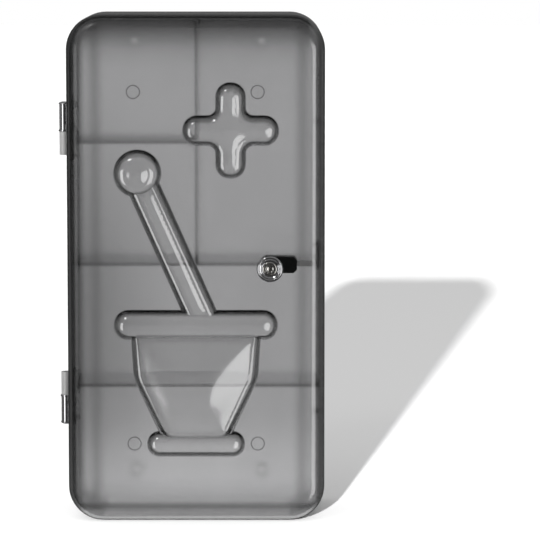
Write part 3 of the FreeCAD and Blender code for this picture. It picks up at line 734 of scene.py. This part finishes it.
def nut_tree():
    """A hexagon nut with chamfered corners, its near face at the point."""
    work = Tree("Chamfered nut", "Corner Radius", "Thickness", "Bore")
    corner, thickness = work.given["Corner Radius"], work.given["Thickness"]
    half = work.times(thickness, 0.5)
    wide = work.times(corner, CHAMFER_WIDE)
    narrow = work.times(corner, CHAMFER_NARROW)
    upper = work.cone(CHAMFER_SIDES, narrow, wide, half)
    lower = work.shifted(work.cone(CHAMFER_SIDES, wide, narrow, half), work.times(half, -1))
    body = work.cylinder(6, corner, thickness)
    body = work.carved("INTERSECT", body, work.carved("UNION", upper, lower))
    bore = work.cylinder(BORE_SIDES, work.given["Bore"], work.times(thickness, 2))
    work.repeat(work.shifted(work.carved("DIFFERENCE", body, bore), half))
    return work


def set_out(work, node, spots, axis, sizes, finish, crease):
    """Run a tree on the given points and keep the result as a plain mesh piece."""
    name = node + "_set"
    mesh = bpy.data.meshes.new(name)
    mesh.from_pydata(spots, [], [])
    field = mesh.attributes.new("axis", "FLOAT_VECTOR", "POINT")
    for row in field.data:
        row.vector = axis
    points = bpy.data.objects.new(name + "_points", mesh)
    bpy.context.scene.collection.objects.link(points)
    maker = points.modifiers.new("Set out", "NODES")
    maker.node_group = work.tree
    for word, value in {**sizes, "Material": finish}.items():
        maker[work.keys[word]] = value
    ready = points.evaluated_get(bpy.context.evaluated_depsgraph_get())
    result = bpy.data.meshes.new_from_object(ready)
    points.modifiers.remove(maker)
    bpy.data.objects.remove(points)
    if not result.polygons:
        raise RuntimeError(f"no faces came out for {name}")
    finished(result, name, finish, [node], crease)


# Where a moulding's finish or painted shade changes: each pair is where the change starts and where
# it is done.
# Depths of the door count from the face of its panel, the tub's from the wall.

RELIEF_RISE = (-0.0003, -0.0009)
FLANK_FOOT = (-0.0002, -0.0006)
FLANK_TOP = (-0.0082, -0.0056)
PANEL_BACK = (0.0024, 0.002)
DOOR_WALL = (0.01, 0.024)
TUB_BACK = (-0.0016, -0.0008)
TUB_WALL = (-0.012, -0.03)

# Lengths along the panel: the glossy right rim, the painted shade of the fold and the fade over
# the door's foot, of the tub's fold and of its left side, and of the ejector marks on both sides of
# the middle

GLOSSY_RIM = (0.016, 0.012)
FOOT_FOLD, FOOT_FOLD_WIDTH = 0.0145, 0.006
FOOT_FADE = (0.006, 0.045)
TUB_FOLD, TUB_FOLD_WIDTH = 0.0195, 0.009
# Painted shade over the tub's left side: where it starts and is full, its middle height and half
# width
LEFT_SHADE_SIDE = (-0.02, -0.1)
LEFT_SHADE_HEIGHT, LEFT_SHADE_WIDTH = -0.07, 0.25
EJECTOR_ACROSS = 0.0566
EJECTOR_UP = 0.1615
EJECTOR_LEVEL = 0.0016
EJECTOR_RADIUS = 0.006
EJECTOR_LINE = 0.0009
EJECTOR_DISC = 0.005

# Shares of painted shade in a feature, or of light left at least

FLANK_LOSS = 0.8
RING_LOSS = 0.7
DISC_LOSS = 0.05
FOOT_FOLD_LOSS = 0.55
FOOT_LEFT = 0.72
DOOR_WALL_LEFT = 0.5
TUB_RIM_LEFT = 0.4
TUB_FOLD_LOSS = 0.5
TUB_WALL_LEFT = 0.7
LEFT_SHADE_LOSS = 0.42
RIM_GLOSS = 0.8


# Operators

class CABINET_OT_mouldings(bpy.types.Operator):
    """Give the tub and the relief door their smoke-grey plastic"""

    bl_idname = "cabinet.mouldings"
    bl_label = "Mouldings"

    def execute(self, context):
        settings = context.scene.cabinet_plastic
        door = smoke_plastic(
            settings, "smoke door plastic", settings.tint, settings.density,
            self.door_satin, self.door_painted_shade, self.door_gloss,
        )
        moulding("door_shell", door, settings, crowned(merged("door_shell"), settings))
        tub = smoke_plastic(
            settings, "smoke tub plastic", settings.tint, settings.density,
            self.tub_satin, self.tub_painted_shade,
        )
        moulding("cabinet_shell", tub, settings)
        return {"FINISHED"}

    def painted_rim_shade(self, finish, low, high, left, right, top, least, start=0.0):
        """Painted rim shade: 1 over the middle of a tray, 0 at the sides, least at the top."""
        across = finish.place("X")
        level = finish.step(across, low.x + start, low.x + left)
        level = level * finish.step(across, high.x - start, high.x - right)
        return level * (least + finish.step(finish.place("Z"), high.z, high.z - top) * (1 - least))

    def behind_panel(self, finish, depths):
        """A change over two depths behind the face of the door's panel."""
        return finish.step(finish.place("Y"), *(PANEL_FACE + depth for depth in depths))

    def door_gloss(self, finish):
        """Full on what stands out from the panel, less on the right rim."""
        rim = finish.step(finish.place("X"), *(DOOR_HIGH.x - inset for inset in GLOSSY_RIM))
        return self.behind_panel(finish, RELIEF_RISE).most(rim * RIM_GLOSS)

    def door_satin(self, finish):
        """The panel's face without what stands out from it."""
        relief = self.behind_panel(finish, RELIEF_RISE)
        return self.behind_panel(finish, PANEL_BACK) * (1 - relief)

    def door_painted_shade(self, finish):
        """Painted shade: less at the rim and its foot, on the relief's steep flanks and in the
        ejector marks.
        """
        # Painted shade at the rim: wider at the left than at the right, widest at the top
        rim = self.painted_rim_shade(
            finish, DOOR_LOW, DOOR_HIGH,
            left=0.018, right=0.0105, top=0.035, least=0.22, start=0.004,
        )
        # Painted shade: a dark line across the door's foot, and the foot darker towards the bottom
        height = finish.place("Z") - DOOR_LOW.z
        rim = rim * (1 - finish.band(height, FOOT_FOLD, FOOT_FOLD_WIDTH) * FOOT_FOLD_LOSS)
        rim = rim * (FOOT_LEFT + finish.step(height, *FOOT_FADE) * (1 - FOOT_LEFT))
        wall = self.behind_panel(finish, DOOR_WALL)
        # Painted shade on the relief's steep flanks, for their dark outlines
        flank = self.behind_panel(finish, FLANK_FOOT) * self.behind_panel(finish, FLANK_TOP)
        level = rim.most(wall * DOOR_WALL_LEFT) * (1 - flank * FLANK_LOSS)
        return level * (1 - self.ejector_marks(finish))

    def ejector_marks(self, finish):
        """Four ejector marks: a dark ring of painted shade at each step, a faint darker disc
        inside.
        """
        across = abs(finish.place("X")) - EJECTOR_ACROSS
        up = abs(finish.place("Z") - EJECTOR_LEVEL) - EJECTOR_UP
        reach = (across * across + up * up) ** 0.5
        ring = finish.band(reach, EJECTOR_RADIUS, EJECTOR_LINE)
        return ring * RING_LOSS + finish.step(reach, EJECTOR_RADIUS, EJECTOR_DISC) * DISC_LOSS

    def tub_satin(self, finish):
        return finish.step(finish.place("Y"), *TUB_BACK)

    def tub_painted_shade(self, finish):
        """Painted shade: less at the rounded rim of the back, in the fold beside it and on the
        left.
        """
        # Painted shade at the back's rim, widest at the top, and along the fold inside it
        rim = self.painted_rim_shade(
            finish, TUB_LOW, TUB_HIGH, left=0.014, right=0.014, top=0.057, least=0.1,
        )
        rim = TUB_RIM_LEFT + rim * (1 - TUB_RIM_LEFT)
        fold = finish.band(abs(finish.place("X")), TUB_HIGH.x - TUB_FOLD, TUB_FOLD_WIDTH)
        wall = finish.step(finish.place("Y"), *TUB_WALL)
        # Painted shade over the left of the back, about its middle height
        left_shade = finish.step(finish.place("X"), *LEFT_SHADE_SIDE)
        left_shade = left_shade * finish.band(finish.place("Z"), LEFT_SHADE_HEIGHT, LEFT_SHADE_WIDTH)
        level = (rim * (1 - fold * TUB_FOLD_LOSS)).most(wall * TUB_WALL_LEFT)
        return level * (1 - left_shade * LEFT_SHADE_LOSS)


class CABINET_OT_shelves(bpy.types.Operator):
    """Give the shelves and the divider their smoke-grey sheet plastic"""

    bl_idname = "cabinet.shelves"
    bl_label = "Shelves and divider"

    def execute(self, context):
        settings = context.scene.cabinet_plastic
        finish = smoke_plastic(
            settings, "smoke shelf plastic", settings.sheet_tint, settings.sheet_density,
            lambda each: each.noise(60) * 0.3, lambda each: 1 - each.noise(24) * 0.06, ior=1.08,
        )
        for node in ("upper_shelf", "middle_shelf", "lower_shelf", "centre_divider"):
            moulding(node, finish, settings)
        return {"FINISHED"}


# A hinge pin, in millimetres: its shaft, and a head with a flange under a dome
PIN_RADIUS = 2.3
PIN_CHAMFER = 0.4
HEAD_HEIGHT = 2.5
FLANGE_HEIGHT = 0.85
FLANGE_BREAK = 0.25
UNDER_BREAK, UNDER_RISE = 0.15, 0.2
DOME_STEPS = 10


class CABINET_OT_hinges(bpy.types.Operator):
    """Finish the chromed body leaves and pins and the satin door leaves"""

    bl_idname = "cabinet.hinges"
    bl_label = "Hinges"

    def execute(self, context):
        settings = context.scene.cabinet_metal
        chrome = chromed_steel(settings)
        satin = satin_steel(settings)
        for level, up in (("upper", 1), ("lower", -1)):
            metal_piece(f"{level}_hinge_body_leaf", chrome, settings)
            self.pin(f"{level}_hinge_pin", chrome, settings, up)
            metal_piece(f"{level}_hinge_washer", chrome, settings)
            metal_piece(f"{level}_hinge_door_leaf", satin, settings)
        return {"FINISHED"}

    def pin(self, node, finish, settings, up):
        """A pin with a flanged, domed head at its upper or lower end."""
        low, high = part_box(node)
        foot = (low + high) / 2
        foot.z = low.z if up > 0 else high.z
        head = (high.x - low.x) * MILLIMETRES / 2
        under = (high.z - low.z) * MILLIMETRES - HEAD_HEIGHT
        over = under + FLANGE_HEIGHT
        profile = [
            (0, 0), (PIN_RADIUS - PIN_CHAMFER, 0), (PIN_RADIUS, PIN_CHAMFER), (PIN_RADIUS, under),
            (head - UNDER_BREAK, under), (head, under + UNDER_RISE), (head, over - FLANGE_BREAK),
        ]
        for step in range(DOME_STEPS + 1):
            lean = math.pi / 2 * step / DOME_STEPS
            profile.append((
                (head - FLANGE_BREAK) * math.cos(lean),
                over + (HEAD_HEIGHT - FLANGE_HEIGHT) * math.sin(lean),
            ))
        mesh = turned(node, profile, foot, Vector((0, 0, up)))
        finished(mesh, node + "_turned", finish, [node], settings.crease)


class CABINET_OT_fasteners(bpy.types.Operator):
    """Set out the cross-recessed screws and the chamfered nuts"""

    bl_idname = "cabinet.fasteners"
    bl_label = "Screws and nuts"

    def execute(self, context):
        settings = context.scene.cabinet_fasteners
        zinc = bright_zinc(context.scene.cabinet_metal)
        screws = screw_tree(settings)
        nuts = nut_tree()
        for name in ("body_hinge", "door_hinge", "strike"):
            side = 1 if name == "strike" else -1
            self.wall_screws(settings, screws, name + "_screws", side, zinc)
            self.wall_nuts(settings, nuts, name + "_nuts", side, zinc)
        self.cover_screws(settings, screws, "guide_screws", zinc)
        return {"FINISHED"}

    def ends(self, boxes, axis, side):
        """The middle of each box's face at the high or low end of an axis."""
        spots = []
        for low, high in boxes:
            spot = (low + high) / 2
            spot[axis] = (high if side > 0 else low)[axis]
            spots.append(spot)
        return spots

    def sizes(self, settings, face, neck, head, shank, reach):
        """One kind of screw, by the names of the tree's inputs; reach is its whole length."""
        return {
            "Face Radius": face, "Neck Radius": neck, "Head Height": head,
            "Shank Radius": shank, "Shank Length": reach - head,
            "Recess Length": 2 * min(face, neck * settings.recess_over) * settings.recess_share,
            "Recess Width": settings.recess_width, "Recess Depth": settings.recess_depth,
            "Thread Pitch": settings.pitch,
        }

    def wall_screws(self, settings, tree, node, side, finish):
        """Countersunk screws through a side wall, their heads outside."""
        boxes = islands(node)
        size = boxes[0][1] - boxes[0][0]
        sizes = self.sizes(
            settings, size.y / 2, settings.wall_shank, settings.wall_head, settings.wall_shank,
            size.x,
        )
        spots = self.ends(boxes, 0, side)
        set_out(tree, node, spots, (side, 0, 0), sizes, finish, settings.crease)

    def wall_nuts(self, settings, tree, node, side, finish):
        """The nuts on the wall screws."""
        boxes = islands(node)
        size = boxes[0][1] - boxes[0][0]
        sizes = {
            "Corner Radius": max(size.y, size.z) / 2, "Thickness": size.x, "Bore": settings.bore,
        }
        spots = self.ends(boxes, 0, -side)
        set_out(tree, node, spots, (side, 0, 0), sizes, finish, settings.crease)

    def cover_screws(self, settings, tree, node, finish):
        """The screws that hold the cover on the bolt's guide, their heads behind."""
        boxes = islands(node)
        size = boxes[0][1] - boxes[0][0]
        foot = size.x / 2
        sizes = self.sizes(
            settings, foot * settings.cover_taper, foot, settings.cover_head,
            settings.cover_shank, size.y,
        )
        set_out(tree, node, self.ends(boxes, 1, 1), (0, 1, 0), sizes, finish, settings.crease)


# What the lathe takes off the lock's face: radius and height over the panel, in millimetres
BEZEL_CUT = [
    (6.2, 1.25), (7.1, 1.25), (7.6, 1.35), (7.95, 1.6), (8.1, 1.95), (8.45, 2.15), (8.85, 2.0),
    (9.0, 1.7), (9.25, 1.6), (9.45, 1.85), (9.8, 2.15), (10.3, 2.34), (10.8, 2.3), (11.3, 2.1),
    (11.75, 1.7), (12.05, 1.2), (12.25, 0.55), (12.6, 0.5), (12.6, 4), (6.2, 4), (6.2, 1.25),
]
PLUG_CUT = [
    (0, 0.75), (1.4, 0.8), (2.6, 1.0), (3.3, 1.35), (3.6, 1.7), (3.85, 1.76), (5.0, 1.7),
    (5.5, 1.76), (6.1, 1.6), (6.7, 1.2), (6.7, 4), (0, 4),
]


class CABINET_OT_lock(bpy.types.Operator):
    """Finish the key lock, its bolt and the strike"""

    bl_idname = "cabinet.lock"
    bl_label = "Lock"

    def execute(self, context):
        settings = context.scene.cabinet_metal
        chrome = bpy.data.materials.get("chromed steel") or chromed_steel(settings)
        nickel = lock_nickel(settings)
        zinc = bpy.data.materials.get("bright zinc plate") or bright_zinc(settings)
        black = guide_black(settings)
        low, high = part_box("lock_barrel")
        face = (low + high) / 2
        face.y = PANEL_FACE
        for node, cut, finish in (
            ("lock_barrel", BEZEL_CUT, chrome),
            ("lock_plug", PLUG_CUT, nickel),
        ):
            cutter = turned(node + " cut", cut, face, Vector((0, -1, 0)))
            metal_piece(node, finish, settings, carved(merged(node, flatten=True), cutter))
        metal_piece("plug_crank", nickel, settings)
        for node in ("lock_nut", "lock_bolt", "strike_plate"):
            metal_piece(node, zinc, settings)
        for node in ("bolt_guide", "bolt_cover"):
            metal_piece(node, black, settings)
        return {"FINISHED"}


# The studio: each softbox with its place, width and height, and power; the lamp's line and spread
SOFTBOXES = (
    ("right box", (1, -1.95, -0.3), (1.05, 1.3), 9),
    ("left box", (-1.4, -1.6, -0.3), (0.8, 1.3), 8),
    ("high box", (-0.9, -1.6, 1.6), (0.5, 0.4), 4),
)
SHADOW_LINE = (0.163, 1, -0.25)
SHADOW_SPREAD = math.radians(1.2)

# The floor's half width, and its glowing strips of painted light: where they cross in front of
# the wall, how they widen and soften, squares of the distances where they are near and far, and
# their light
FLOOR_REACH = 14
STRIP_CROSSING = 0.06
STRIP_WIDENS = 0.12
STRIP_SOFT = 0.36
STRIP_NEAR = (0.3, 0.03)
STRIP_FAR = (8, 80)
STRIP_LIGHT = 0.7
NEAR_LIGHT = 0.3
FAR_LIGHT = 0.25

# Where the room starts and is full in a direction, as parts of a heading of length 1
LEVEL = (0.5, 0.2)
BEHIND = (-0.2, 0.4)
ABOVE = (0.15, 0.6)
BESIDE = (0.88, 0.99)


class CABINET_OT_stage(bpy.types.Operator):
    """Set the pale floor, the soft light and the camera"""

    bl_idname = "cabinet.stage"
    bl_label = "Studio"

    def execute(self, context):
        settings = context.scene.cabinet_stage
        context.scene.view_settings.view_transform = "Standard"
        floor = self.floor(context, settings)
        self.world(context, settings)
        self.shadow_lamp(context, settings, floor)
        for name, spot, size, power in SOFTBOXES:
            self.softbox(context, name, spot, size, power)
        self.camera(context, settings)
        return {"FINISHED"}

    def placed(self, context, name, data):
        piece = bpy.data.objects.new(name, data)
        context.scene.collection.objects.link(piece)
        return piece

    def floor(self, context, settings):
        ground = CAD_BOX[0][2]
        corners = ((-1, -1), (1, -1), (1, 1), (-1, 1))
        mesh = bpy.data.meshes.new("floor")
        mesh.from_pydata(
            [(x * FLOOR_REACH, y * FLOOR_REACH, ground) for x, y in corners], [], [(0, 1, 2, 3)],
        )
        finish = material("pale floor")
        pale = (settings.floor,) * 3
        paint = finish.blend(finish.noise(300, 4), rgba(pale), toned(pale, 0.985))
        matt = finish.add("ShaderNodeBsdfDiffuse", values={"Color": paint})
        # Painted light: the floor glows in strips for rays through the clear plastic
        shine = finish.add("ShaderNodeEmission", values={
            "Color": (1, 1, 1, 1), "Strength": self.glowing_floor_strips(finish, settings),
        })
        seen = finish.add("ShaderNodeMixShader", values={
            "Fac": finish.ray("Transmission"), 1: matt, 2: shine,
        })
        finish.close({"Surface": seen})
        mesh.materials.append(finish.owner)
        floor = self.placed(context, "floor", mesh)
        floor.visible_glossy = False
        return floor

    def glowing_floor_strips(self, finish, settings):
        """Painted light: glowing strips that cross under the cabinet, as the clear plastic shows
        them.
        """
        across = finish.place("X")
        along = finish.place("Y") + STRIP_CROSSING
        diagonal = (across + along) * math.sqrt(0.5)
        other = (across - along) * math.sqrt(0.5)
        reach = across * across + along * along
        near = finish.step(reach, *STRIP_NEAR)
        far = finish.step(reach, *STRIP_FAR)
        strips = near
        for side, run in ((across, along), (along, across), (diagonal, other), (other, diagonal)):
            spread = abs(side) - abs(run) * STRIP_WIDENS
            lit = finish.step(spread, settings.strip + STRIP_SOFT, settings.strip)
            strips = strips.most(lit)
        lit = strips * (STRIP_LIGHT + near * NEAR_LIGHT + far * FAR_LIGHT)
        return settings.dark + lit * (1 - settings.dark)

    def world(self, context, settings):
        """What each kind of ray meets: a lit picture, a dark mirror image or even light."""
        room = bpy.data.worlds.new("studio")
        context.scene.world = room
        finish = Finish(room)
        heading = finish.add("ShaderNodeTexCoord", out="Generated")
        across, toward, upward = (finish.along(heading, axis) for axis in "XYZ")
        gloss, seen, passed = (finish.ray(kind) for kind in ("Glossy", "Camera", "Transmission"))
        level = finish.step(upward, *LEVEL)
        clear = settings.high + level * (settings.level - settings.high)
        mirror = settings.dark + finish.step(toward, *BEHIND) * level * settings.gloss_behind
        mirror = mirror + finish.step(upward, *ABOVE) * settings.gloss_above
        mirror = mirror + finish.step(abs(across), *BESIDE) * settings.gloss_beside
        plain = 1 - gloss - seen - passed
        strength = gloss * mirror + passed * clear + seen + plain * settings.ambient
        light = finish.add("ShaderNodeBackground", values={
            "Color": (1, 1, 1, 1), "Strength": strength,
        })
        finish.close({"Surface": light}, "ShaderNodeOutputWorld")

    def shadow_lamp(self, context, settings, floor):
        """A lamp that lights only the floor, so that the cabinet throws its shadow there."""
        lamp = bpy.data.lights.new("shadow lamp", "SUN")
        lamp.energy = settings.sun
        lamp.angle = SHADOW_SPREAD
        piece = self.placed(context, "shadow lamp", lamp)
        piece.rotation_euler = Vector(SHADOW_LINE).to_track_quat("-Z", "Y").to_euler()
        shown_on = bpy.data.collections.new("shadow floor")
        shown_on.objects.link(floor)
        piece.light_linking.receiver_collection = shown_on

    def softbox(self, context, name, spot, size, power):
        """A lit panel that faces the cabinet and shows in its gloss only."""
        lamp = bpy.data.lights.new(name, "AREA")
        lamp.shape = "RECTANGLE"
        lamp.size, lamp.size_y = size
        lamp.energy = power
        piece = self.placed(context, name, lamp)
        piece.location = spot
        piece.rotation_euler = (-Vector(spot)).to_track_quat("-Z", "Y").to_euler()
        piece.visible_camera = False
        piece.visible_transmission = False

    def camera(self, context, settings):
        lens = bpy.data.cameras.new("camera")
        lens.sensor_width = 36
        lens.lens = lens.sensor_width * settings.distance / settings.view_width
        lens.clip_end = 100
        piece = self.placed(context, "camera", lens)
        aim = Vector((settings.across, PANEL_FACE, settings.height))
        line = Vector((0, math.cos(settings.drop), -math.sin(settings.drop)))
        piece.location = aim - line * settings.distance
        piece.rotation_euler = line.to_track_quat("-Z", "Y").to_euler()
        context.scene.camera = piece


class CABINET_PT_panel(bpy.types.Panel):
    """Steps and settings of the cabinet"""

    bl_idname = "CABINET_PT_panel"
    bl_label = "Medicine Cabinet"
    bl_space_type = "VIEW_3D"
    bl_region_type = "UI"
    bl_category = "Cabinet"

    def draw(self, context):
        for step in STEPS:
            self.layout.operator(step.bl_idname)
        for word in SETTINGS:
            group = getattr(context.scene, word)
            box = self.layout.box()
            box.label(text=group.bl_rna.description)
            for prop in group.bl_rna.properties:
                if prop.identifier not in ("rna_type", "name"):
                    box.prop(group, prop.identifier)


SETTINGS = {
    "cabinet_plastic": PlasticSettings,
    "cabinet_metal": MetalSettings,
    "cabinet_fasteners": FastenerSettings,
    "cabinet_stage": StageSettings,
}
STEPS = (
    CABINET_OT_mouldings,
    CABINET_OT_shelves,
    CABINET_OT_hinges,
    CABINET_OT_fasteners,
    CABINET_OT_lock,
    CABINET_OT_stage,
)


def register():
    for word, group in SETTINGS.items():
        bpy.utils.register_class(group)
        setattr(bpy.types.Scene, word, PointerProperty(type=group))
    for step in STEPS:
        bpy.utils.register_class(step)
    bpy.utils.register_class(CABINET_PT_panel)


def unregister():
    bpy.utils.unregister_class(CABINET_PT_panel)
    for step in reversed(STEPS):
        bpy.utils.unregister_class(step)
    for word, group in reversed(list(SETTINGS.items())):
        delattr(bpy.types.Scene, word)
        bpy.utils.unregister_class(group)


def main():
    register()
    bpy.ops.cabinet.mouldings()
    bpy.ops.cabinet.shelves()
    bpy.ops.cabinet.hinges()
    bpy.ops.cabinet.fasteners()
    bpy.ops.cabinet.lock()
    bpy.ops.cabinet.stage()


if __name__ == "__main__":
    main()
